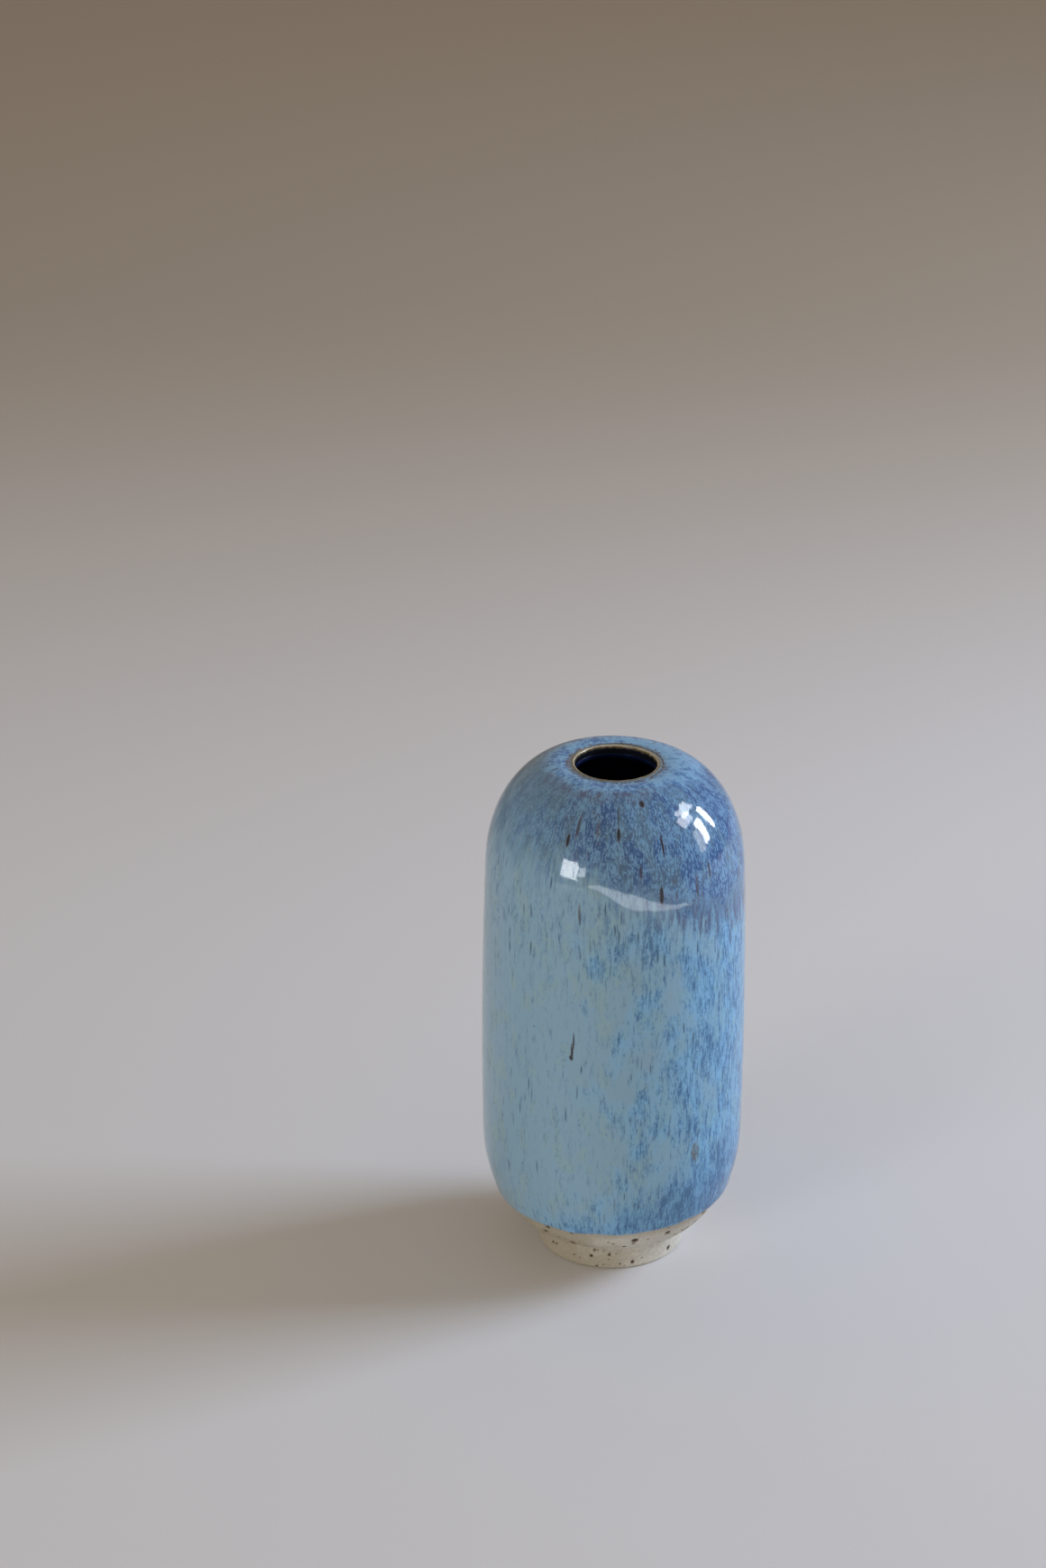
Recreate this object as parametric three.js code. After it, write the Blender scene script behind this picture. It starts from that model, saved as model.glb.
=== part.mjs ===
// A small stoneware bud vase: a capsule-shaped closed form with a narrow mouth, standing on a turned foot ring.
// Millimetres, +Z up, origin at the centre of the foot's resting face.
//
// The pot is built up as a potter builds it: a clay body, a foot ring luted to its underside, a liner glaze
// poured inside, a thick flowing glaze outside that stops short of the foot, and the thin line at the lip
// where the two glazes meet. Every layer is a lathe, made by offsetting one shared outline.

import * as THREE from "three";

// Driving dimensions
const HEIGHT = 130;
const FOOT_RADIUS = 18.1;
const FOOT_HEIGHT = 6.1;
const FOOT_RING_WIDTH = 5;
const FOOT_BEVEL = 0.8;
const FOOT_FLARE = 1.2; // how far the luted joint spreads where the ring meets the underside
const HIP_RADIUS = 32; // widest part of the hip curve, where the side turns in to the underside
const HIP_HEIGHT = 33;
const SHOULDER_RADIUS = 31.3; // widest part of the shoulder curve, where the side turns in to the crown
const SHOULDER_HEIGHT = 103.7;
const SIDE_BULGE = 0.5; // how far the side swells past a straight line from the hip to the shoulder
const UNDERSIDE_HEIGHT = 5.4; // bottom of the hip curve, outside the glaze
const UNDERSIDE_RADIUS = 16.1; // radius at which the hip curve has turned flat
const CROWN_RADIUS = 13; // radius at which the shoulder has turned flat
const GLAZE_LINE = 15.5; // height at which the outer glaze stops
const MOUTH_RADIUS = 9.9;
const LIP_ROUNDING = 1.2;
const LIP_BAND_DEPTH = 2.1; // how far the lip's own glaze reaches down the mouth

const CHAMBER_RADIUS = 27;
const CHAMBER_FLOOR = 12.5;
const CHAMBER_CEILING = 126.2;
const CHAMBER_HIP_HEIGHT = 34;
const CHAMBER_SHOULDER_HEIGHT = 103;
const CHAMBER_FLOOR_RADIUS = 9; // radius at which the floor starts to turn up
const CHAMBER_CEILING_RADIUS = 11.6;
const THROAT_ROUNDING = 1.2; // where the mouth opens out into the chamber

const GLAZE_THICKNESS = 0.7;
const LINER_THICKNESS = 0.5;
const BOND_GAP = 0.1; // between fired layers, so that the solids stay apart
const JOINT_GAP = 0.3; // slip line between the foot ring and the underside

const SEGMENTS = 48;
const HIP_STEPS = 9;
const SIDE_STEPS = 4;
const SHOULDER_STEPS = 10;
const LIP_STEPS = 3;
const CEILING_STEPS = 8;
const FLOOR_STEPS = 7;
const RIGHT_ANGLE = Math.PI / 2;
const CORNER = 1 - Math.SQRT1_2; // how far a quarter round's middle is set in, as a share of its radius

// An outline point with its outward normal in the half plane (r, z)
const point = (r, z, nr, nz) => {
  const length = Math.hypot(nr, nz);
  return { r, z, nr: nr / length, nz: nz / length };
};

// A quarter-ellipse point; angle 0 is level with the centre and a right angle is straight above or below it
function ellipsePoint(centre, semi, angle, upOrDown) {
  const c = Math.cos(angle);
  const s = Math.sin(angle) * upOrDown;
  return point(centre.r + semi.r * c, centre.z + semi.z * s, c / semi.r, s / semi.z);
}

const range = (count, from, to) => Array.from({ length: count + 1 }, (_, i) => from + ((to - from) * i) / count);

// The pot's outer skin, from the underside up to the start of the lip
const HIP_CENTRE = { r: UNDERSIDE_RADIUS, z: HIP_HEIGHT };
const HIP_SEMI = { r: HIP_RADIUS - UNDERSIDE_RADIUS, z: HIP_HEIGHT - UNDERSIDE_HEIGHT };
const SHOULDER_CENTRE = { r: CROWN_RADIUS, z: SHOULDER_HEIGHT };
const SHOULDER_SEMI = { r: SHOULDER_RADIUS - CROWN_RADIUS, z: HEIGHT - SHOULDER_HEIGHT };

// The side meets the hip and the shoulder a little short of their widest, where their slopes agree
const HIP_END = 0.0314;
const SHOULDER_START = 0.0489;

function hip(fromAngle) {
  return range(HIP_STEPS, fromAngle, HIP_END).map((angle) => ellipsePoint(HIP_CENTRE, HIP_SEMI, angle, -1));
}

function side() {
  const low = ellipsePoint(HIP_CENTRE, HIP_SEMI, HIP_END, -1);
  const high = ellipsePoint(SHOULDER_CENTRE, SHOULDER_SEMI, SHOULDER_START, 1);
  const run = high.r - low.r;
  const rise = high.z - low.z;
  const inner = range(SIDE_STEPS, 0, 1).slice(1, -1);
  return inner.map((t) => {
    const r = low.r + run * t + SIDE_BULGE * 4 * t * (1 - t);
    const slope = (run + SIDE_BULGE * 4 * (1 - 2 * t)) / rise;
    return point(r, low.z + rise * t, 1, -slope);
  });
}

function shoulder() {
  return range(SHOULDER_STEPS, SHOULDER_START, RIGHT_ANGLE).map((angle) =>
    ellipsePoint(SHOULDER_CENTRE, SHOULDER_SEMI, angle, 1),
  );
}

// The lip rolls over from the flat crown into the mouth
const LIP_CENTRE = { r: MOUTH_RADIUS + LIP_ROUNDING, z: HEIGHT - LIP_ROUNDING };

function lip() {
  const roll = range(LIP_STEPS, RIGHT_ANGLE, 2 * RIGHT_ANGLE).map((angle) => {
    const c = Math.cos(angle);
    const s = Math.sin(angle);
    return point(LIP_CENTRE.r + LIP_ROUNDING * c, LIP_CENTRE.z + LIP_ROUNDING * s, c, s);
  });
  return [...roll, point(MOUTH_RADIUS, HEIGHT - LIP_BAND_DEPTH, -1, 0)];
}

// The inside skin, from the mouth down the throat, across the ceiling and down to the middle of the floor.
// Normals point into the hollow.
function chamber() {
  const throatEnd = CHAMBER_CEILING + THROAT_ROUNDING;
  const ceiling = { r: CHAMBER_RADIUS - CHAMBER_CEILING_RADIUS, z: CHAMBER_CEILING - CHAMBER_SHOULDER_HEIGHT };
  const floor = { r: CHAMBER_RADIUS - CHAMBER_FLOOR_RADIUS, z: CHAMBER_HIP_HEIGHT - CHAMBER_FLOOR };
  const inward = (p) => ({ ...p, nr: -p.nr, nz: -p.nz });
  return [
    point(MOUTH_RADIUS, HEIGHT - LIP_BAND_DEPTH, -1, 0),
    point(MOUTH_RADIUS, throatEnd, -1, 0),
    point(MOUTH_RADIUS + CORNER * THROAT_ROUNDING, CHAMBER_CEILING + CORNER * THROAT_ROUNDING, -1, -1),
    ...range(CEILING_STEPS, RIGHT_ANGLE, 0).map((angle) =>
      inward(ellipsePoint({ r: CHAMBER_CEILING_RADIUS, z: CHAMBER_SHOULDER_HEIGHT }, ceiling, angle, 1)),
    ),
    ...range(FLOOR_STEPS, 0, RIGHT_ANGLE).map((angle) =>
      inward(ellipsePoint({ r: CHAMBER_FLOOR_RADIUS, z: CHAMBER_HIP_HEIGHT }, floor, angle, -1)),
    ),
    point(0, CHAMBER_FLOOR, 0, 1),
  ];
}

// Each outline point pushed in under the skin; a point on the axis stays on it
const sink = (outline, depth) =>
  outline.map((p) => [p.r === 0 ? 0 : p.r - p.nr * depth, p.z - p.nz * depth]);

// A closed ring or bowl from the cross-section [r, z] points, in either winding. Points on the axis close it.
function lathe(section) {
  const doubledArea = section.reduce((sum, [r, z], i) => {
    const [nextR, nextZ] = section[(i + 1) % section.length];
    return sum + r * nextZ - nextR * z;
  }, 0);
  const turned = doubledArea > 0 ? section : [...section].reverse();
  const ordered = turned.some(([r]) => r === 0) ? startOnAxis(turned) : [...turned, turned[0]];
  const points = ordered.map(([r, z]) => new THREE.Vector2(r, z));
  return new THREE.LatheGeometry(points, SEGMENTS).rotateX(RIGHT_ANGLE);
}

// Rotates a section that has two points on the axis so that it starts on one and ends on the other
function startOnAxis(section) {
  const start = section.findIndex(([r], i) => r === 0 && section.at(i - 1)[0] === 0);
  return [...section.slice(start), ...section.slice(0, start)];
}

const materials = {
  clay: new THREE.MeshStandardMaterial({ color: 0xcbbfa8, roughness: 0.85, metalness: 0 }),
  blueGlaze: new THREE.MeshStandardMaterial({ color: 0x6f9cc0, roughness: 0.15, metalness: 0 }),
  linerGlaze: new THREE.MeshStandardMaterial({ color: 0x14213f, roughness: 0.15, metalness: 0 }),
  lipGlaze: new THREE.MeshStandardMaterial({ color: 0x9a8f66, roughness: 0.2, metalness: 0 }),
};

const vase = new THREE.Group();

function addPiece(name, section, material) {
  const mesh = new THREE.Mesh(lathe(section), material);
  mesh.name = name;
  vase.add(mesh);
}

// Clay body: the thrown pot without its foot, glazed over outside and in
const clayDepth = GLAZE_THICKNESS + BOND_GAP;
const clayInnerDepth = LINER_THICKNESS + BOND_GAP;
addPiece(
  "stoneware_body",
  [
    [0, UNDERSIDE_HEIGHT + clayDepth],
    ...sink(hip(RIGHT_ANGLE), clayDepth),
    ...sink(side(), clayDepth),
    ...sink(shoulder(), clayDepth),
    ...sink(lip().slice(0, -1), clayDepth),
    ...sink(chamber().slice(1), clayInnerDepth),
  ],
  materials.clay,
);

// Foot ring: its top follows the underside of the body, and its outer wall flares into the joint
const footTop = UNDERSIDE_HEIGHT + clayDepth - JOINT_GAP;
const footInnerRadius = FOOT_RADIUS - FOOT_RING_WIDTH;
const jointRadius = FOOT_RADIUS + FOOT_FLARE;
const jointRun = (jointRadius - UNDERSIDE_RADIUS) / (HIP_SEMI.r - clayDepth);
const jointTop = HIP_HEIGHT - (HIP_SEMI.z - clayDepth) * Math.sqrt(1 - jointRun ** 2) - JOINT_GAP;
addPiece(
  "foot_ring",
  [
    [footInnerRadius, FOOT_BEVEL],
    [footInnerRadius + FOOT_BEVEL, 0],
    [FOOT_RADIUS - FOOT_BEVEL, 0],
    [FOOT_RADIUS - CORNER * FOOT_BEVEL, CORNER * FOOT_BEVEL],
    [FOOT_RADIUS, FOOT_BEVEL],
    [FOOT_RADIUS, FOOT_HEIGHT - FOOT_FLARE],
    [FOOT_RADIUS + CORNER * FOOT_FLARE, FOOT_HEIGHT - CORNER * FOOT_FLARE],
    [jointRadius, jointTop],
    [UNDERSIDE_RADIUS, footTop],
    [footInnerRadius, footTop],
  ],
  materials.clay,
);

// Outer glaze: from the glaze line, up the side and over the shoulder, to the lip
const glazeLineAngle = Math.asin((HIP_HEIGHT - GLAZE_LINE) / HIP_SEMI.z);
const crownEdge = point(LIP_CENTRE.r + BOND_GAP, HEIGHT, 0, 1);
const outerGlaze = [...hip(glazeLineAngle), ...side(), ...shoulder(), crownEdge];
addPiece(
  "outer_glaze",
  [...sink(outerGlaze, 0), ...sink(outerGlaze, GLAZE_THICKNESS).reverse()],
  materials.blueGlaze,
);

// Lip band: the thin glaze over the lip, from the crown into the throat
const lipLine = [...lip().slice(0, -1), point(MOUTH_RADIUS, HEIGHT - LIP_BAND_DEPTH + BOND_GAP, -1, 0)];
addPiece(
  "lip_band",
  [...sink(lipLine, 0), ...sink(lipLine, LINER_THICKNESS).reverse()],
  materials.lipGlaze,
);

// Liner glaze: down the throat, over the ceiling and wall, and across the floor
addPiece(
  "liner_glaze",
  [...sink(chamber(), 0), ...sink(chamber(), LINER_THICKNESS).reverse()],
  materials.linerGlaze,
);

export default vase;
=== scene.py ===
"""A small glazed stoneware bud vase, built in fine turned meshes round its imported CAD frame.

Lengths in this script are in millimetres until a mesh, a light or the camera is made, which is in metres.
Azimuths are in degrees anticlockwise from +X, seen from above, so the camera's side is -90.
"""

import functools
import math

import bmesh
import bpy
import numpy as np
from mathutils import Matrix, Vector, noise


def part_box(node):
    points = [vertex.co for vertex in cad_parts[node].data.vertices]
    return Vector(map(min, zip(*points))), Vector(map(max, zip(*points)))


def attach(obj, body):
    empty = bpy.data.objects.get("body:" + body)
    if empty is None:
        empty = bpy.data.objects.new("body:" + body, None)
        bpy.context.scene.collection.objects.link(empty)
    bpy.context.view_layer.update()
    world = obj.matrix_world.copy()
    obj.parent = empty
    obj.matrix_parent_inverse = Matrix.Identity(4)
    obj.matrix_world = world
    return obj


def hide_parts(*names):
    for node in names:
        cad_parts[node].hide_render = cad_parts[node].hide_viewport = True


MM = 0.001

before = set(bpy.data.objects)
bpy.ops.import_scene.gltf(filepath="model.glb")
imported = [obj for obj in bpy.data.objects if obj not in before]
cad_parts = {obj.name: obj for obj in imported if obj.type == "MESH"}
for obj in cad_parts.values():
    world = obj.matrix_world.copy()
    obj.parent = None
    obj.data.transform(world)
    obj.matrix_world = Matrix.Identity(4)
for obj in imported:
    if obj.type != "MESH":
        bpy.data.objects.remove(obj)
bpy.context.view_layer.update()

# ---------------------------------------------------------------------------------------------------------
# Sizes. The overall ones are the frame's own.
# ---------------------------------------------------------------------------------------------------------

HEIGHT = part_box("outer_glaze")[1].z / MM
BELLY_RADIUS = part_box("outer_glaze")[1].x / MM
GLAZE_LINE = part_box("outer_glaze")[0].z / MM
FOOT_HEIGHT = 6.1
FOOT_RADIUS = 18.1
FOOT_WIDTH = 5.0
HIP_RADIUS = 32.0
HIP_HEIGHT = 33.0
HIP_END = 0.0314  # radians short of level at which the side leaves the hip and meets the shoulder
SHOULDER_START = 0.0489
SHOULDER_RADIUS = 31.3
SHOULDER_HEIGHT = 103.7
SIDE_BULGE = 0.5
UNDERSIDE_HEIGHT = 5.4
UNDERSIDE_RADIUS = 16.1
CROWN_RADIUS = 13.0
MOUTH_RADIUS = 9.9
LIP_ROUNDING = 1.2
LIP_EDGE = 0.5  # rounding of the mouth's inner edge
LIP_CREST = 0.18  # how far that edge stands over the crown
LIP_BAND_DEPTH = 2.1
CHAMBER_RADIUS = 27.0
CHAMBER_FLOOR = 12.5
CHAMBER_CEILING = 126.2
CHAMBER_HIP_HEIGHT = 34.0
CHAMBER_SHOULDER_HEIGHT = 103.0
CHAMBER_FLOOR_RADIUS = 9.0
CHAMBER_CEILING_RADIUS = 11.6
THROAT_ROUNDING = 1.2

LINER_THICKNESS = 0.5
CLAY_DEPTH = 0.8  # of the bare clay under the glaze's skin

FOOT_FLARE = 1.5  # rounding of the foot up into the base
FOOT_BEVEL = 0.8
GLAZE_ROLL = 1.1  # length over which the coat's lower edge rounds off
GLAZE_GAP = 0.02  # between the glaze's inner face and the clay
LINER_GAP = 0.1  # between the liner's back and the clay
JOINT_GAP = 0.04  # between the foot ring's top and the clay
GLAZE_BEAD = 0.16  # how far the coat swells just above its lower edge
GLAZE_RELIEF = 0.018
CLAY_GRAIN = 0.03
WALL_PIT_DEPTH = 0.16
FOOT_PIT_DEPTH = 0.18

SEGMENTS = 360
FULL_TURN = 2 * math.pi
QUARTER_TURN = math.pi / 2


# ---------------------------------------------------------------------------------------------------------
# Outlines: points (radius, height), from the crown down the outside and from the mouth down the inside
# ---------------------------------------------------------------------------------------------------------


def arc(centre, semi, start, end, count=120):
    """Points of an upright ellipse between two angles from the horizontal."""
    angle = np.linspace(start, end, count)
    return np.stack([centre[0] + semi[0] * np.cos(angle), centre[1] + semi[1] * np.sin(angle)], 1)


def outer_outline():
    """The pot's glazed skin, from the lip's outer edge to the axis under the base."""
    shoulder = arc(
        (CROWN_RADIUS, SHOULDER_HEIGHT),
        (SHOULDER_RADIUS - CROWN_RADIUS, HEIGHT - SHOULDER_HEIGHT),
        QUARTER_TURN,
        SHOULDER_START,
    )
    hip = arc(
        (UNDERSIDE_RADIUS, HIP_HEIGHT),
        (HIP_RADIUS - UNDERSIDE_RADIUS, HIP_HEIGHT - UNDERSIDE_HEIGHT),
        -HIP_END,
        -QUARTER_TURN,
    )
    down = np.linspace(0, 1, 120)[1:-1, None]
    side = shoulder[-1] + (hip[0] - shoulder[-1]) * down + [SIDE_BULGE, 0] * (4 * down * (1 - down))
    crown = np.array([[MOUTH_RADIUS + LIP_ROUNDING, HEIGHT]])
    return np.concatenate([crown, shoulder, side, hip, [[0, UNDERSIDE_HEIGHT]]])


def inner_outline():
    """The chamber's skin, from the bottom of the lip band down to the axis on the floor."""
    throat_end = CHAMBER_CEILING + THROAT_ROUNDING
    throat = arc(
        (MOUTH_RADIUS + THROAT_ROUNDING, throat_end),
        (THROAT_ROUNDING, THROAT_ROUNDING),
        math.pi,
        1.5 * math.pi,
        16,
    )
    ceiling = arc(
        (CHAMBER_CEILING_RADIUS, CHAMBER_SHOULDER_HEIGHT),
        (CHAMBER_RADIUS - CHAMBER_CEILING_RADIUS, CHAMBER_CEILING - CHAMBER_SHOULDER_HEIGHT),
        QUARTER_TURN,
        0,
    )
    floor = arc(
        (CHAMBER_FLOOR_RADIUS, CHAMBER_HIP_HEIGHT),
        (CHAMBER_RADIUS - CHAMBER_FLOOR_RADIUS, CHAMBER_HIP_HEIGHT - CHAMBER_FLOOR),
        0,
        -QUARTER_TURN,
    )
    top = np.array([[MOUTH_RADIUS, HEIGHT - LIP_BAND_DEPTH]])
    return np.concatenate([top, throat, ceiling, floor, [[0, CHAMBER_FLOOR]]])


class Outline:
    """A curve that can be read by its length from the start.

    side is 1 where the skin faces left of the way along it, and -1 where it faces right.
    """

    def __init__(self, points, side):
        self.points = points
        steps = np.hypot(*np.diff(points, axis=0).T)
        self.along = np.concatenate([[0], np.cumsum(steps)])
        self.length = self.along[-1]
        tangent = np.gradient(points, self.along, axis=0)
        tangent /= np.linalg.norm(tangent, axis=1, keepdims=True)
        self.normals = side * np.stack([-tangent[:, 1], tangent[:, 0]], 1)

    def at(self, along, depth):
        """Points (radius, height) at these lengths, sunk by depth under the skin."""
        r, z = [
            np.interp(along, self.along, self.points[:, axis])
            - np.interp(along, self.along, self.normals[:, axis]) * depth
            for axis in (0, 1)
        ]
        return np.maximum(r, 0), z

    def length_at_height(self, height):
        """How far along an outline that goes down this height is reached."""
        return np.interp(-height, -self.points[:, 1], self.along)


OUTER = Outline(outer_outline(), 1)
INNER = Outline(inner_outline(), -1)

AZIMUTHS = np.arange(SEGMENTS) * FULL_TURN / SEGMENTS
ROUND = np.zeros((1, SEGMENTS))  # added to a column of rings, gives every azimuth the same value


# ---------------------------------------------------------------------------------------------------------
# Meshes
# ---------------------------------------------------------------------------------------------------------


def hand_wobble(azimuth, height):
    """How far the thrower's hands left the wall out of true, in millimetres. Every layer shares it."""
    oval = 0.13 * np.cos(2 * azimuth + 0.6 + 0.012 * height)
    lean = 0.07 * np.cos(3 * azimuth + 2.1 - 0.02 * height)
    on_wall = np.clip((height - 8) / 20, 0, 1) * np.clip((126 - height) / 16, 0, 1)
    rings = 0.012 * np.sin(FULL_TURN * height / 8.5 + 0.7 * np.sin(azimuth) + 1.3 * np.sin(height / 17))
    return oval + lean + on_wall * rings


def face_outward(mesh):
    """Turns every face of a closed mesh to look out of its solid."""
    work = bmesh.new()
    work.from_mesh(mesh)
    bmesh.ops.recalc_face_normals(work, faces=work.faces)
    work.to_mesh(mesh)
    work.free()


def turned_mesh(name, r, z, capped=False, **marks):
    """A mesh from rings of radius and height, each an array of rings by segments, in millimetres.

    The last ring joins the first or, if capped, both ends close on the axis. marks are extra values for each
    vertex, kept as attributes of that name.
    """
    rings = len(r)
    r = r + hand_wobble(AZIMUTHS, z)
    points = np.stack([r * np.cos(AZIMUTHS), r * np.sin(AZIMUTHS), z], 2).reshape(-1, 3)
    column = np.arange(SEGMENTS)
    across = np.roll(column, -1)
    faces = []
    for ring in range(rings - 1 if capped else rings):
        upper, lower = ring * SEGMENTS, (ring + 1) % rings * SEGMENTS
        faces += np.stack([upper + column, lower + column, lower + across, upper + across], 1).tolist()
    if capped:
        last = (rings - 1) * SEGMENTS
        first_centre, last_centre = len(points), len(points) + 1
        points = np.concatenate([points, [[0, 0, z[0].mean()], [0, 0, z[-1].mean()]]])
        neighbours = list(zip(column.tolist(), across.tolist()))
        faces += [[first_centre, one, other] for one, other in neighbours]
        faces += [[last_centre, last + other, last + one] for one, other in neighbours]
    mesh = bpy.data.meshes.new(name)
    mesh.from_pydata((points * MM).tolist(), [], faces)
    face_outward(mesh)
    for mark, values in marks.items():
        filled = np.zeros(len(points), np.float32)
        filled[: values.size] = values.reshape(-1)
        mesh.attributes.new(mark, "FLOAT", "POINT").data.foreach_set("value", filled)
    mesh.shade_smooth()
    made = bpy.data.objects.new(name, mesh)
    bpy.context.scene.collection.objects.link(made)
    return made


def finish_piece(piece, material, node):
    """Gives a piece its material and its place in the frame."""
    piece.data.materials.append(material)
    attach(piece, "root")
    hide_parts(node)


def rough(azimuth, height, size, seed):
    """Smooth noise from -1 to 1 at a place on the pot's wall, with features about size millimetres wide."""
    r = BELLY_RADIUS / size
    spot = Vector((r * math.cos(azimuth), r * math.sin(azimuth), height / size + seed))
    return noise.noise(spot)


def rough_rings(heights, size, seed):
    """The same noise at every vertex of rings, from their heights."""
    return np.array(
        [[rough(azimuth, height, size, seed) for azimuth, height in zip(AZIMUTHS, ring)] for ring in heights]
    )


def glaze_line_height(azimuth):
    """The height at which the glaze stops: lower on the left of the camera's view, higher on the right."""
    tilt = 1.1 * np.cos(azimuth + math.radians(20))
    waves = [0.5 * rough(turn, 0, 9, 3.1) + 0.28 * rough(turn, 0, 3.2, 8.4) for turn in azimuth]
    return GLAZE_LINE + 0.1 + tilt + np.array(waves)


def glaze_coat():
    """The thick outer glaze: a skin, a rolled lower edge, and an inner face that lies on the clay."""
    skin_rings, edge_rings, inner_rings = 188, 14, 30
    end = OUTER.length_at_height(glaze_line_height(AZIMUTHS))
    skin_share = np.linspace(0, 1, skin_rings, endpoint=False)[:, None]
    edge_share = 1 - np.sin(np.linspace(QUARTER_TURN, 0, edge_rings))[:, None]
    inner_share = np.linspace(0, 1, inner_rings)[:, None]
    skin = skin_share * (end - GLAZE_ROLL)
    edge = end - GLAZE_ROLL + edge_share * GLAZE_ROLL
    inner = end * (1 - inner_share)
    along = np.concatenate([skin, edge, inner])
    left = end - along
    height = OUTER.at(along, 0)[1]

    bead = GLAZE_BEAD * np.exp(-(((left - 2.0) / 1.3) ** 2))
    relief = GLAZE_RELIEF * rough_rings(height[:skin_rings] * 0.3, 2.4, 20)
    rise = CLAY_DEPTH + bead
    rise[:skin_rings] += relief * np.clip(along[:skin_rings] / 6, 0, 1)
    rise -= LIP_CREST * np.exp(-((along / 2.2) ** 2))
    rolled = np.clip(left / GLAZE_ROLL, 0, 1)
    rise *= np.sqrt(1 - (1 - rolled) ** 2)
    rise[skin_rings + edge_rings :] = GLAZE_GAP
    r, z = OUTER.at(along, CLAY_DEPTH - rise)
    return turned_mesh("blue_glaze_coat", r, z, down=along, edge=np.clip(left, 0, None))


def clay_pits(count, low, high, seed):
    """Places (azimuth, height, radius) where grog and iron specks left pits in the bare clay."""
    draw = np.random.default_rng(seed)
    places = []
    for _ in range(count):
        places.append((draw.uniform(0, FULL_TURN), draw.uniform(low, high), draw.gamma(1.6, 0.15) + 0.12))
    return places


def pit_depths(radius, height, places):
    """For each vertex, how much of a pit it is in, from 0 to 1."""
    depth = np.zeros_like(height)
    for azimuth, level, size in places:
        turn = (AZIMUTHS - azimuth + math.pi) % FULL_TURN - math.pi
        across = turn * radius
        away = np.hypot(across, height - level) / size
        depth = np.maximum(depth, np.clip(1.35 - away, 0, 1))
    return depth * depth * (3 - 2 * depth)


def clay_wall():
    """The thrown clay body: bare from the glaze line down, glazed over above and inside."""
    bare_start = OUTER.length_at_height(GLAZE_LINE + 4)
    bare_end = OUTER.length_at_height(UNDERSIDE_HEIGHT + 0.02)
    outside = np.concatenate(
        [
            np.linspace(0, bare_start, 60, endpoint=False),
            np.linspace(bare_start, bare_end, 90, endpoint=False),
            np.linspace(bare_end, OUTER.length - 1, 12),
        ]
    )
    inside = np.linspace(0, INNER.length - 1, 90)[::-1]
    outer_r, outer_z = OUTER.at(outside[:, None] + ROUND, CLAY_DEPTH)
    inner_r, inner_z = INNER.at(inside[:, None] + ROUND, LINER_THICKNESS + LINER_GAP)
    pits = pit_depths(outer_r, outer_z, clay_pits(150, UNDERSIDE_HEIGHT, GLAZE_LINE + 2, 4))
    grain = CLAY_GRAIN * rough_rings(outer_z, 1.1, 60)
    outer_r = outer_r - WALL_PIT_DEPTH * pits + grain * (outer_z < GLAZE_LINE)
    # From the middle of the floor, up the inside, over the mouth, and down the outside
    r = np.concatenate([inner_r, outer_r])
    z = np.concatenate([inner_z, outer_z])
    pit = np.concatenate([np.zeros_like(inner_r), pits])
    return turned_mesh("clay_wall", r[::-1], z[::-1], capped=True, pit=pit[::-1])


def foot_ring():
    """The turned foot, flared into the base, with softened edges and a flat resting face."""
    inner = FOOT_RADIUS - FOOT_WIDTH
    joint_z = UNDERSIDE_HEIGHT + CLAY_DEPTH - JOINT_GAP
    bevel, flare = (FOOT_BEVEL, FOOT_BEVEL), (FOOT_FLARE, FOOT_FLARE)
    flare_centre = (FOOT_RADIUS + FOOT_FLARE, FOOT_HEIGHT - FOOT_FLARE / 2)
    face = np.linspace(inner + FOOT_BEVEL, FOOT_RADIUS - FOOT_BEVEL, 12)[1:-1, None]
    wall = np.linspace(FOOT_BEVEL, FOOT_HEIGHT - FOOT_FLARE, 24)[1:-1, None]
    section = np.concatenate(
        [
            [[inner, joint_z], [inner, joint_z - 1.4], [inner, 2.6]],
            arc((inner + FOOT_BEVEL, FOOT_BEVEL), bevel, math.pi, 1.5 * math.pi, 14),
            face * [1, 0],
            arc((FOOT_RADIUS - FOOT_BEVEL, FOOT_BEVEL), bevel, -QUARTER_TURN, 0, 14),
            wall * [0, 1] + [FOOT_RADIUS, 0],
            arc(flare_centre, flare, math.pi, QUARTER_TURN, 14),
            [[FOOT_RADIUS + FOOT_FLARE - 1, joint_z + 0.05], [UNDERSIDE_RADIUS, joint_z]],
        ]
    )
    r, z = section[:, :1] + ROUND, section[:, 1:] + ROUND
    pits = pit_depths(r, z, clay_pits(50, 0.6, FOOT_HEIGHT - 0.4, 9)) * (r > FOOT_RADIUS - 0.3)
    on_wall = (r > FOOT_RADIUS - 0.1) & (z > FOOT_BEVEL)
    tooling = 0.05 * np.sin(z * 2.6 + 0.4 * np.sin(AZIMUTHS * 2)) * on_wall
    return turned_mesh("turned_foot", r - FOOT_PIT_DEPTH * pits + tooling, z, pit=pits)


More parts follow.
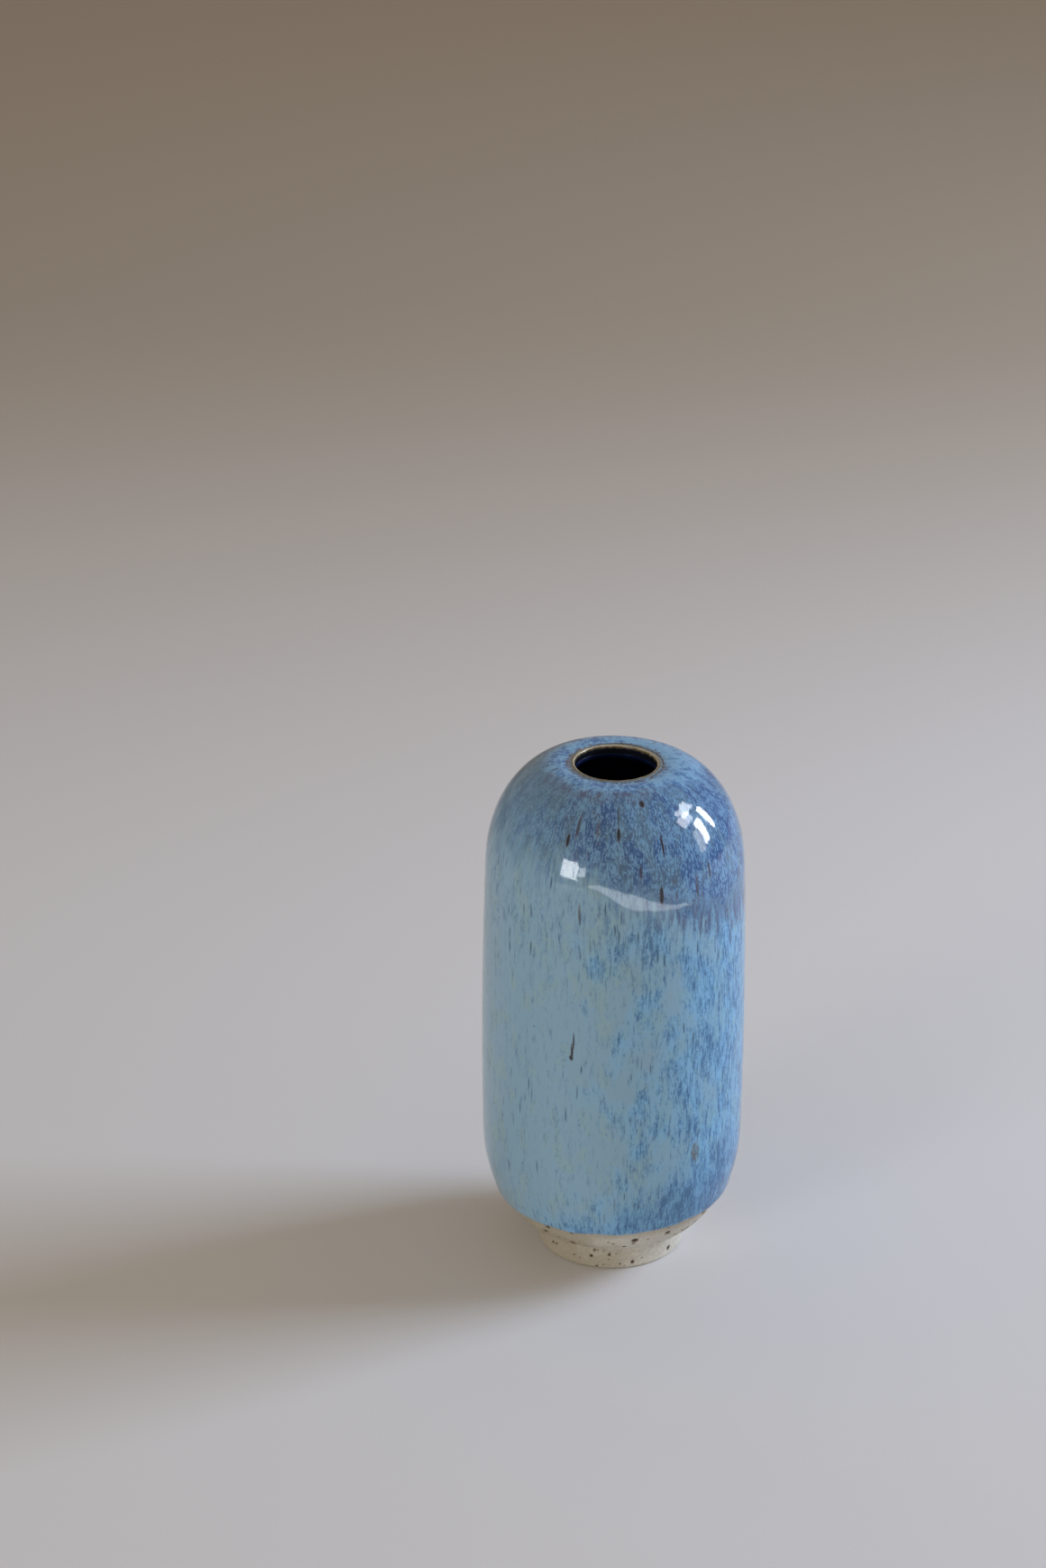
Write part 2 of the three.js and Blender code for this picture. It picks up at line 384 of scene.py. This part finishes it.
def lip_line():
    """The thin glaze over the lip: from the crown to a crest, round the mouth's edge and into the throat."""
    crown_r, edge_r = MOUTH_RADIUS + LIP_ROUNDING, MOUTH_RADIUS + LIP_EDGE
    end_z = HEIGHT - LIP_BAND_DEPTH
    rise = np.linspace(-LIP_CREST, 0, 8, endpoint=False)
    slope = np.stack([np.linspace(crown_r, edge_r, 8, endpoint=False), rise], 1)
    edge = arc((edge_r, HEIGHT - LIP_EDGE), (LIP_EDGE, LIP_EDGE), QUARTER_TURN, math.pi, 12)
    throat = np.stack([np.full(8, MOUTH_RADIUS), np.linspace(HEIGHT - LIP_EDGE, end_z, 9)[1:]], 1)
    outer = np.concatenate([slope + [0, HEIGHT], edge, throat])
    back_r = MOUTH_RADIUS + LINER_THICKNESS
    inner = np.array([[back_r, end_z], [back_r, HEIGHT - 1.2], [crown_r, HEIGHT - 0.9]])
    section = np.concatenate([outer, inner])
    r, z = section[:, :1] + ROUND, section[:, 1:] + ROUND
    # How far over the lip each ring is, counted along the outer face and back along the hidden one
    over = np.concatenate([[0], np.cumsum(np.hypot(*np.diff(outer, axis=0).T)), [3, 2, 0]])
    return turned_mesh("lip_glaze_line", r, z, over=over[:, None] + ROUND)


def liner_coat():
    """The liner glaze, over the throat, the ceiling, the wall and the floor of the chamber."""
    down = np.concatenate([[0, 0.05], np.linspace(0.5, INNER.length - 1, 148)])[:, None] + ROUND
    skin_r, skin_z = INNER.at(down, 0)
    back_r, back_z = INNER.at(down[::-1], LINER_THICKNESS)
    r, z = np.concatenate([back_r, skin_r]), np.concatenate([back_z, skin_z])
    return turned_mesh("liner_glaze_coat", r, z, capped=True)


# ---------------------------------------------------------------------------------------------------------
# Materials
# ---------------------------------------------------------------------------------------------------------


def linear(red, green, blue):
    """A colour given as display values from 0 to 255, as scene-linear RGBA."""
    channels = [value / 255 for value in (red, green, blue)]
    return (*[c / 12.92 if c <= 0.04045 else ((c + 0.055) / 1.055) ** 2.4 for c in channels], 1)


class Nodes:
    """A material's node tree, with one short call for each kind of node used here."""

    def __init__(self, name):
        self.material = bpy.data.materials.new(name)
        self.material.use_nodes = True
        self.tree = self.material.node_tree
        self.shader = self.tree.nodes["Principled BSDF"]
        here = self.tree.nodes.new("ShaderNodeTexCoord").outputs["Object"]
        self.here = self.vector("MULTIPLY", here, (1 / MM,) * 3)  # in millimetres

    def put(self, socket, value):
        if isinstance(value, bpy.types.NodeSocket):
            self.tree.links.new(value, socket)
        else:
            socket.default_value = value

    def node(self, kind, values, **settings):
        made = self.tree.nodes.new("ShaderNode" + kind)
        for name, setting in settings.items():
            setattr(made, name, setting)
        for name, value in values.items():
            self.put(made.inputs[name], value)
        return made

    def math(self, operation, a, b=0.0):
        return self.node("Math", {0: a, 1: b}, operation=operation, use_clamp=False).outputs[0]

    def times(self, a, b):
        return self.math("MULTIPLY", a, b)

    def total(self, *parts):
        return functools.reduce(functools.partial(self.math, "ADD"), parts)

    def centred(self, value, size):
        """A value from 0 to 1, spread evenly round 0 and over size."""
        return self.times(self.math("SUBTRACT", value, 0.5), size)

    def vector(self, operation, a, b=(0, 0, 0)):
        made = self.node("VectorMath", {0: a, 1: b}, operation=operation)
        return made.outputs["Value" if operation in ("LENGTH", "DOT_PRODUCT") else "Vector"]

    def noise(self, at, size, detail=2.0, roughness=0.55, kind="Fac"):
        """Noise whose features are about size millimetres wide."""
        values = {"Vector": at, "Scale": 1 / size, "Detail": detail, "Roughness": roughness}
        return self.node("TexNoise", values, noise_dimensions="3D").outputs[kind]

    def scatter(self, at, size, fade, chosen, strength=1.0, channel=0):
        """Spots round scattered points about size millimetres apart.

        fade is the distances, in parts of size, at which a spot starts and is full. Each point has its own
        random value, and chosen is the values at which its spot starts to show and has all its strength.
        """
        points = self.node("TexVoronoi", {"Vector": at, "Scale": 1 / size}).outputs
        own = self.node("SeparateColor", {"Color": points["Color"]}).outputs[channel]
        return self.times(self.step(points["Distance"], *fade), self.step(own, *chosen, 0, strength))

    def step(self, value, low, high, bottom=0.0, top=1.0):
        """A smooth rise from bottom to top while value goes from low to high. low may be over high."""
        values = {"Value": value, "From Min": low, "From Max": high, "To Min": bottom, "To Max": top}
        return self.node("MapRange", values, interpolation_type="SMOOTHSTEP").outputs["Result"]

    def mix(self, share, a, b):
        """Colour a, with a share of colour b over it."""
        made = self.tree.nodes.new("ShaderNodeMix")
        made.data_type = "RGBA"
        for socket, value in zip((made.inputs[0], made.inputs[6], made.inputs[7]), (share, a, b)):
            self.put(socket, value)
        return made.outputs[2]

    def mark(self, name):
        return self.node("Attribute", {}, attribute_name=name).outputs["Fac"]

    def bump(self, height, depth, under=None):
        """A normal from a height between 0 and 1, depth millimetres deep."""
        values = {"Height": height, "Distance": depth * MM, "Strength": 1.0}
        if under is not None:
            values["Normal"] = under
        return self.node("Bump", values).outputs["Normal"]


PALE = linear(141, 175, 196)
PALE_GREEN = linear(147, 177, 183)
PALE_RUN = linear(112, 149, 179)
SLATE = linear(66, 96, 124)
LIGHT_BLUE = linear(131, 184, 220)
TURQUOISE = linear(134, 180, 202)
BLUE_RUN = linear(94, 146, 190)
DEEP_RUN = linear(62, 102, 144)
SHOULDER_DARK = linear(58, 90, 142)
SHOULDER_GREY = linear(86, 114, 140)
SHOULDER_DASH = linear(122, 166, 202)
CROWN_BLUE = linear(76, 118, 172)
CROWN_FROST = linear(132, 180, 216)
PLUM = linear(92, 89, 110)
RUST = linear(100, 84, 76)
IRON = linear(40, 34, 38)
OLIVE = linear(108, 96, 74)
HALO_BROWN = linear(96, 80, 70)

# Iron drips that are seen first from the front: azimuth, height of the middle, width, length and strength
IRON_DRIPS = [
    (-114, 121, 0.8, 3, 0.9),
    (-110, 124, 0.9, 5, 0.7),
    (-99, 124, 1.3, 4, 0.4),
    (-88, 123, 0.9, 3, 1),
    (-88, 126, 0.4, 5, 0.8),
    (-66, 120, 0.5, 5, 1),
    (-43, 112, 0.7, 4, 0.8),
    (-69, 109, 0.9, 4, 1),
    (-78, 115, 0.6, 3, 0.7),
    (-72, 128, 1.8, 1.8, 0.9),
    (-105, 105, 0.6, 4, 0.6),
    (-51, 109, 0.7, 6, 0.6),
    (-107.7, 66.6, 0.9, 1.2, 1),
    (-107.4, 68.2, 0.5, 4, 1),
    (-106.7, 71, 0.35, 4, 0.9),
]
OLIVE_SPOT = (-51, 38, 2, 4.5)  # azimuth, height of the middle, width and length

BLUE_SIDE = (0.95, -0.31, 0)  # the way that the bluer side of the pot faces
# The way the window-lit back of the crown faces, where the extra frost is painted light.
WINDOW_LIT_SIDE = (0.75, 0.66, 0)
SMUDGED_SIDE = (-0.3, -0.95, 0)


class BlueGlaze(Nodes):
    """The blue glaze's node tree, with what its colours share."""

    def __init__(self):
        super().__init__("blue_glaze")
        self.height = self.node("SeparateXYZ", {"Vector": self.here}).outputs["Z"]
        flat = self.vector("MULTIPLY", self.here, (1, 1, 0))
        self.radius = self.vector("LENGTH", flat)
        self.around = self.vector("NORMALIZE", flat)

        # A map of the coat, in millimetres: round the pot in X and Y, down the coat in Z
        down = self.node("CombineXYZ", {"Z": self.mark("down")}).outputs["Vector"]
        self.mapped = self.vector("ADD", self.vector("MULTIPLY", self.around, (BELLY_RADIUS,) * 3), down)
        wander = self.noise(self.vector("MULTIPLY", self.mapped, (1, 1, 0.4)), 5, 2, kind="Color")
        wander = self.vector("SUBTRACT", wander, (0.5,) * 3)
        self.swayed = self.vector("ADD", self.mapped, self.vector("MULTIPLY", wander, (2.2, 2.2, 0)))
        self.run = self.drawn(0.17)
        self.drift = self.drawn(0.6)

        # Streaks from thick to fine
        thick = self.noise(self.run, 1.0, 4, 0.65)
        thin = self.noise(self.run, 0.45, 3, 0.65)
        self.fine = self.noise(self.drawn(0.5), 0.5, 4, 0.75)
        self.runs = self.total(self.times(thick, 0.4), self.times(thin, 0.3), self.times(self.fine, 0.3))
        clumps = self.centred(self.noise(self.drift, 2.6, 3), 0.3)
        self.dashes = self.total(self.times(self.fine, 0.7), self.times(thin, 0.3), clumps)

        # How blue the coat is, round the pot and where it pools above the foot, and how far it is shoulder
        sway = self.noise(self.drift, 8, 3)
        self.facing = self.vector("DOT_PRODUCT", self.around, BLUE_SIDE)
        pool_level = self.total(self.height, self.centred(sway, 30), self.times(self.facing, -14))
        self.pool = self.step(pool_level, 28, 10)
        blue = self.step(self.total(self.facing, self.centred(sway, 2.2)), 0.1, 1.0)
        self.blue = self.math("MAXIMUM", blue, self.pool)
        level = self.total(self.height, self.times(self.math("MAXIMUM", self.facing, 0.0), 16), 2)
        ragged = self.centred(self.noise(self.run, 2.0, 4, 0.6), 22)
        self.level = self.total(level, ragged, self.centred(sway, 12))
        self.shoulder = self.step(self.level, 110, 124)

    def drawn(self, share):
        """The map of the coat with its heights cut to a share, so noise read there is drawn out down it."""
        return self.vector("MULTIPLY", self.swayed, (1, 1, share))

    def closeness(self, azimuth, level, width, length):
        """1 at a place on the coat, falling to 0 round it."""
        turn = math.radians(azimuth)
        middle = (BELLY_RADIUS * math.cos(turn), BELLY_RADIUS * math.sin(turn), OUTER.length_at_height(level))
        away = self.vector("SUBTRACT", self.mapped, middle)
        away = self.vector("MULTIPLY", away, (2 / width, 2 / width, 2 / length))
        return self.step(self.vector("LENGTH", away), 1.6, 0.7)


def wall_colour(coat):
    """Pale on one side and blue on the other, with ticks, and thin runs that are bluer on the blue side."""
    upper = coat.step(coat.height, 80, 105)
    deeper = coat.times(coat.pool, coat.step(coat.facing, 0, 0.9))
    pale = coat.mix(coat.step(coat.noise(coat.drift, 5, 4), 0.52, 0.62, 0, 0.7), PALE, PALE_GREEN)
    light = coat.mix(coat.step(coat.noise(coat.drift, 3.6, 4, 0.65), 0.44, 0.58), LIGHT_BLUE, TURQUOISE)
    light = coat.mix(coat.total(coat.times(coat.pool, 0.3), coat.times(deeper, 0.2)), light, BLUE_RUN)
    colour = coat.mix(coat.blue, pale, light)

    cover = coat.total(
        coat.runs,
        coat.centred(coat.noise(coat.drift, 5, 3), 0.16),
        coat.times(coat.blue, 0.05),
        coat.times(upper, 0.03),
        coat.times(deeper, 0.05),
    )
    strength = coat.step(coat.blue, 0, 0.8, 0.45, 0.78)
    run_colour = coat.mix(coat.blue, PALE_RUN, BLUE_RUN)
    colour = coat.mix(coat.times(coat.step(cover, 0.51, 0.57), strength), colour, run_colour)
    colour = coat.mix(coat.times(coat.step(cover, 0.57, 0.63), strength), colour, DEEP_RUN)

    crowding = coat.total(coat.noise(coat.drift, 9, 2), coat.times(coat.blue, 0.1), coat.times(upper, 0.2))
    ticks = coat.scatter(coat.drawn(0.12), 1.0, (0.32, 0.12), (0.5, 0.9), 0.9)
    return coat.mix(coat.times(ticks, coat.step(crowding, 0.42, 0.6, 0.15, 1)), colour, SLATE)


def with_shoulder(coat, colour):
    """A dark shoulder with light dashes, and plum where it ends on the blue side."""
    top = coat.mix(coat.step(coat.noise(coat.drift, 5.5, 4), 0.44, 0.6), SHOULDER_DARK, SHOULDER_GREY)
    top = coat.mix(coat.step(coat.noise(coat.drift, 3.0, 3), 0.54, 0.7, 0, 0.35), top, RUST)
    top = coat.mix(coat.step(coat.dashes, 0.46, 0.56, 0, 0.9), top, SHOULDER_DASH)
    top = coat.mix(coat.step(coat.facing, 0.2, -0.7, 0, 0.48), top, PALE_RUN)
    colour = coat.mix(coat.times(coat.shoulder, 0.95), colour, top)
    border = coat.times(coat.step(coat.level, 110, 116), coat.step(coat.level, 124, 117))
    border = coat.times(border, coat.step(coat.facing, 0.4, 0.9))
    border = coat.times(border, coat.step(coat.runs, 0.44, 0.56, 0, 0.7))
    return coat.mix(border, colour, PLUM)


def with_crown(coat, colour):
    """Mottled blue and frost round the mouth, wider at the back toward the window as painted light, with a
    plum smudge at the front.
    """
    # Painted light: the frost spreads wider and the mottle turns lighter on the side toward the window.
    window_lit = coat.math("MAXIMUM", coat.vector("DOT_PRODUCT", coat.around, WINDOW_LIT_SIDE), 0.0)
    mottle = coat.total(
        coat.times(coat.noise(coat.here, 1.1, 4, 0.7), 0.4),
        coat.times(coat.dashes, 0.3),
        coat.times(window_lit, 0.035),
        coat.times(coat.noise(coat.here, 3.0, 3), 0.3),
    )
    crown = coat.mix(coat.step(mottle, 0.44, 0.54), CROWN_BLUE, CROWN_FROST)
    reach = coat.total(coat.radius, coat.centred(coat.noise(coat.here, 2.6, 3), 6))
    colour = coat.mix(coat.step(coat.total(reach, coat.times(window_lit, -5)), 19, 15, 0, 0.95), colour, crown)
    band = coat.times(coat.step(reach, 15, 17), coat.step(reach, 20, 18))
    front = coat.step(coat.vector("DOT_PRODUCT", coat.around, SMUDGED_SIDE), 0.4, 0.9)
    smudge = coat.times(coat.times(band, front), coat.step(coat.dashes, 0.56, 0.44, 0.2, 0.75))
    return coat.mix(smudge, colour, PLUM)


def with_iron(coat, colour):
    """The listed drips, more of them scattered on the shoulder, specks, and one olive spot."""
    iron = 0.0
    for *place, strength in IRON_DRIPS:
        iron = coat.math("MAXIMUM", coat.times(coat.closeness(*place), strength), iron)
    drips = coat.scatter(coat.drawn(0.2), 2.2, (0.18, 0.06), (0.6, 1.0), 0.9)
    iron = coat.math("MAXIMUM", iron, coat.times(drips, coat.shoulder))
    iron = coat.math("MAXIMUM", iron, coat.scatter(coat.drawn(0.5), 2.6, (0.08, 0.03), (0.84, 0.88), 0.7, 1))
    frayed = coat.times(iron, coat.step(coat.fine, 0.3, 0.5, 0.5, 1))
    colour = coat.mix(coat.step(frayed, 0, 0.5, 0, 0.5), colour, RUST)
    colour = coat.mix(coat.step(frayed, 0.4, 0.9, 0, 0.9), colour, IRON)
    spot = coat.times(coat.closeness(*OLIVE_SPOT), coat.step(coat.fine, 0.4, 0.6, 0.3, 0.8))
    return coat.mix(spot, colour, OLIVE)


def with_edges(coat, colour):
    """Brown where the coat thins at the lip, and a pale line where it rolls under at its lower edge."""
    halo = coat.total(coat.radius, coat.centred(coat.noise(coat.here, 0.9, 3, 0.7), 6))
    colour = coat.mix(coat.step(halo, 12.4, 11.2, 0, 0.85), colour, HALO_BROWN)
    rim = coat.times(coat.step(coat.mark("edge"), GLAZE_ROLL, 0.2), coat.step(coat.height, 40, 30))
    return coat.mix(coat.times(rim, 0.4), colour, LIGHT_BLUE)


def blue_glaze():
    """Runny blue glaze: grey turquoise on one side, bluer on the other, and a dark, dashed shoulder."""
    coat = BlueGlaze()
    colour = wall_colour(coat)
    for layer in (with_shoulder, with_crown, with_iron, with_edges):
        colour = layer(coat, colour)
    coat.put(coat.shader.inputs["Base Color"], colour)
    coat.put(coat.shader.inputs["Roughness"], coat.step(coat.noise(coat.run, 1.2, 2), 0.3, 0.7, 0.04, 0.1))
    coat.shader.inputs["IOR"].default_value = 1.5
    ripple = coat.bump(coat.noise(coat.drawn(0.2), 1.3, 2), 0.008)
    coat.put(coat.shader.inputs["Normal"], coat.bump(coat.noise(coat.here, 3.0, 1), 0.035, ripple))
    return coat.material


# The cream and sand colours stand partly for painted light and shade on the foot's two sides.
LIT_CLAY_CREAM = linear(214, 209, 196)
SHADED_CLAY_SAND = linear(180, 170, 149)
CLAY_TOASTED = linear(156, 142, 118)
CLAY_SPECK = linear(62, 50, 42)
CLAY_RUST = linear(128, 100, 70)


def bare_clay():
    """Unglazed speckled stoneware, grey cream under the glaze's blue side and sandier on the other: painted
    light and shade, paler toward the key light, over a cloudy tone.
    """
    clay = Nodes("bare_clay")
    height = clay.node("SeparateXYZ", {"Vector": clay.here}).outputs["Z"]
    # Painted light and shade: the clay turns paler cream on the side toward the key light and darker sand
    # away from it, mixed with a cloudy tone.
    facing = clay.times(clay.vector("DOT_PRODUCT", clay.here, BLUE_SIDE), 1 / FOOT_RADIUS)
    cloud = clay.times(clay.noise(clay.here, 5, 3), 1.4)
    colour = clay.mix(clay.step(clay.math("SUBTRACT", cloud, facing), 0.9, -0.1), SHADED_CLAY_SAND, LIT_CLAY_CREAM)
    under_glaze = clay.step(height, GLAZE_LINE - 2.2, GLAZE_LINE + 0.6, 0, 0.45)
    colour = clay.mix(under_glaze, colour, CLAY_TOASTED)
    colour = clay.mix(clay.step(clay.noise(clay.here, 0.7, 4, 0.7), 0.42, 0.7, 0, 0.4), colour, CLAY_TOASTED)
    specks = clay.scatter(clay.here, 1.5, (0.22, 0.1), (0.7, 0.78), 0.65)
    colour = clay.mix(specks, colour, CLAY_SPECK)
    pit = clay.mark("pit")
    colour = clay.mix(clay.step(pit, 0, 0.4, 0, 0.6), colour, CLAY_RUST)
    colour = clay.mix(clay.step(pit, 0.3, 0.9, 0, 0.9), colour, CLAY_SPECK)
    clay.put(clay.shader.inputs["Base Color"], colour)
    clay.shader.inputs["Roughness"].default_value = 0.85
    clay.shader.inputs["Specular IOR Level"].default_value = 0.25
    sand = clay.bump(clay.noise(clay.here, 0.35, 4, 0.7), 0.05)
    clay.put(clay.shader.inputs["Normal"], sand)
    return clay.material


LIP_TAN = linear(186, 178, 152)
LIP_DARK = linear(24, 26, 34)
COBALT = linear(14, 26, 62)
COBALT_LIGHT = linear(26, 50, 104)


def lip_glaze():
    """Thin glaze: the crown's blue turns olive, breaks tan over the edge and darkens in the throat."""
    lip = Nodes("lip_glaze")
    over = lip.total(lip.mark("over"), lip.centred(lip.noise(lip.here, 1.0, 3), 1))
    colour = lip.mix(lip.step(over, -0.2, 0.6, 0.4, 1), CROWN_FROST, OLIVE)
    colour = lip.mix(lip.step(over, 0.65, 0.95), colour, LIP_TAN)
    colour = lip.mix(lip.step(over, 1.05, 1.4), colour, OLIVE)
    colour = lip.mix(lip.step(over, 1.4, 2.0), colour, LIP_DARK)
    lip.put(lip.shader.inputs["Base Color"], colour)
    lip.shader.inputs["Roughness"].default_value = 0.14
    lip.put(lip.shader.inputs["Normal"], lip.bump(lip.noise(lip.here, 1.1, 2), 0.01))
    return lip.material


def liner_glaze():
    """Glossy dark cobalt."""
    liner = Nodes("liner_glaze")
    run = liner.vector("MULTIPLY", liner.here, (1, 1, 0.3))
    colour = liner.mix(liner.step(liner.noise(run, 2.5, 3), 0.45, 0.65), COBALT, COBALT_LIGHT)
    liner.put(liner.shader.inputs["Base Color"], colour)
    liner.shader.inputs["Roughness"].default_value = 0.3
    liner.put(liner.shader.inputs["Normal"], liner.bump(liner.noise(run, 2.0, 2), 0.03))
    return liner.material


FLOOR_LIT_FRONT = linear(224, 221, 220)
FLOOR_SHADED_BACK = linear(180, 168, 154)


def pale_floor():
    """Plain pale painted board with a faint tooth, darker and warmer toward the back as painted light
    falloff.
    """
    board = Nodes("pale_floor")
    depth = board.node("SeparateXYZ", {"Vector": board.here}).outputs["Y"]
    # Painted light falloff: the board's colour darkens and warms with distance behind the pot.
    colour = board.mix(board.step(depth, 100, 800), FLOOR_LIT_FRONT, FLOOR_SHADED_BACK)
    board.put(board.shader.inputs["Base Color"], colour)
    board.shader.inputs["Roughness"].default_value = 0.8
    board.shader.inputs["Specular IOR Level"].default_value = 0.06
    board.put(board.shader.inputs["Normal"], board.bump(board.noise(board.here, 1.6, 4, 0.6), 0.03))
    return board.material


# ---------------------------------------------------------------------------------------------------------
# Floor, light and camera
# ---------------------------------------------------------------------------------------------------------


def floor():
    half = 3.0
    mesh = bpy.data.meshes.new("floor")
    corners = [(-half, -half, 0), (half, -half, 0), (half, half, 0), (-half, half, 0)]
    mesh.from_pydata(corners, [], [(0, 1, 2, 3)])
    made = bpy.data.objects.new("floor", mesh)
    bpy.context.scene.collection.objects.link(made)
    mesh.materials.append(pale_floor())


LIGHT_TARGET = Vector((0, 0, 0.11))
UP = Vector((0, 0, 1))
DAYLIGHT = (0.65, 0.78, 1.0)
WINDOW_WHITE = (0.92, 0.96, 1.0)
ROOM_BROWN = (0.345, 0.295, 0.235, 1)


def soft_box(name, azimuth, elevation, across, up, radiance, colour=WINDOW_WHITE, distance=1.3):
    """Daylight from this azimuth and elevation, across by up degrees wide as the shoulder sees it.

    It is a rectangle of even radiance, which the camera doesn't see itself.
    """
    turn, rise = math.radians(azimuth), math.radians(elevation)
    away = Vector((math.cos(turn) * math.cos(rise), math.sin(turn) * math.cos(rise), math.sin(rise)))
    along = UP.cross(away).normalized()
    light = bpy.data.lights.new(name, "AREA")
    light.shape = "RECTANGLE"
    light.size = 2 * distance * math.tan(math.radians(across) / 2)
    light.size_y = 2 * distance * math.tan(math.radians(up) / 2)
    light.energy = radiance * math.pi * light.size * light.size_y
    light.color = colour
    made = bpy.data.objects.new(name, light)
    made.matrix_world = Matrix((along, away.cross(along), away)).transposed().to_4x4()
    made.location = LIGHT_TARGET + away * distance
    made.visible_camera = False
    bpy.context.scene.collection.objects.link(made)
    return made


def floor_glow():
    """A bright patch of floor in front of the pot, which only its gloss sees."""
    above_floor = 4
    right = [(262, -95), (262, -180), (250, -340), (225, -700), (-30, -1700), (-900, -4200)]
    left = [(-1300, -2900), (-380, -1300), (-10, -590), (85, -340), (170, -230), (215, -160)]
    mesh = bpy.data.meshes.new("floor_glow")
    corners = [(x * MM, y * MM, above_floor * MM) for x, y in right + left]
    mesh.from_pydata(corners, [], [range(len(corners))])
    made = bpy.data.objects.new("floor_glow", mesh)
    bpy.context.scene.collection.objects.link(made)
    glow = Nodes("floor_glow")
    glow.shader.inputs["Base Color"].default_value = (0, 0, 0, 1)
    glow.shader.inputs["Emission Color"].default_value = (*WINDOW_WHITE, 1)
    glow.shader.inputs["Emission Strength"].default_value = 4.5
    mesh.materials.append(glow.material)
    made.visible_camera = False
    made.visible_diffuse = False
    made.visible_shadow = False


def lights():
    soft_box("key", 14, 25, 24, 24, 17, DAYLIGHT).visible_glossy = False
    soft_box("far_window", -132.5, 7.8, 11, 14, 13)
    soft_box("far_window_edge", -124.5, 7.8, 4, 14, 13)
    reflections = [
        soft_box("sash", 11, 41, 19, 10, 11),
        soft_box("sash_side", -1, 35.5, 16, 11, 10),
        soft_box("pane_left", 6.8, 17.5, 7, 19, 22),
        soft_box("pane_right", 20.5, 20, 6, 21, 22),
        soft_box("pane_side", -3, 14, 9, 17, 5),
        soft_box("far_window_side", -119, 9, 5, 8, 7),
    ]
    for light in reflections:
        light.visible_diffuse = False
    floor_glow()

    world = bpy.data.worlds.new("room")
    world.use_nodes = True
    background = world.node_tree.nodes["Background"]
    background.inputs["Color"].default_value = ROOM_BROWN
    background.inputs["Strength"].default_value = 1.0
    bpy.context.scene.world = world


CAMERA_PLACE = (0, -0.8035, 0.4929)
CAMERA_PITCH = 24.65  # degrees down
CAMERA_YAW = 1.573  # degrees to the left
LENS = 85
SENSOR = 36


def camera():
    data = bpy.data.cameras.new("camera")
    data.lens = LENS
    data.sensor_width = SENSOR
    made = bpy.data.objects.new("camera", data)
    made.location = CAMERA_PLACE
    made.rotation_euler = (math.radians(90 - CAMERA_PITCH), 0, math.radians(CAMERA_YAW))
    bpy.context.scene.collection.objects.link(made)
    bpy.context.scene.camera = made


# ---------------------------------------------------------------------------------------------------------
# The vase's pieces, and what is round them
# ---------------------------------------------------------------------------------------------------------

clay = bare_clay()
finish_piece(clay_wall(), clay, "stoneware_body")
finish_piece(foot_ring(), clay, "foot_ring")
finish_piece(glaze_coat(), blue_glaze(), "outer_glaze")
finish_piece(lip_line(), lip_glaze(), "lip_band")
finish_piece(liner_coat(), liner_glaze(), "liner_glaze")

floor()
lights()
camera()
bpy.context.scene.view_settings.view_transform = "Standard"
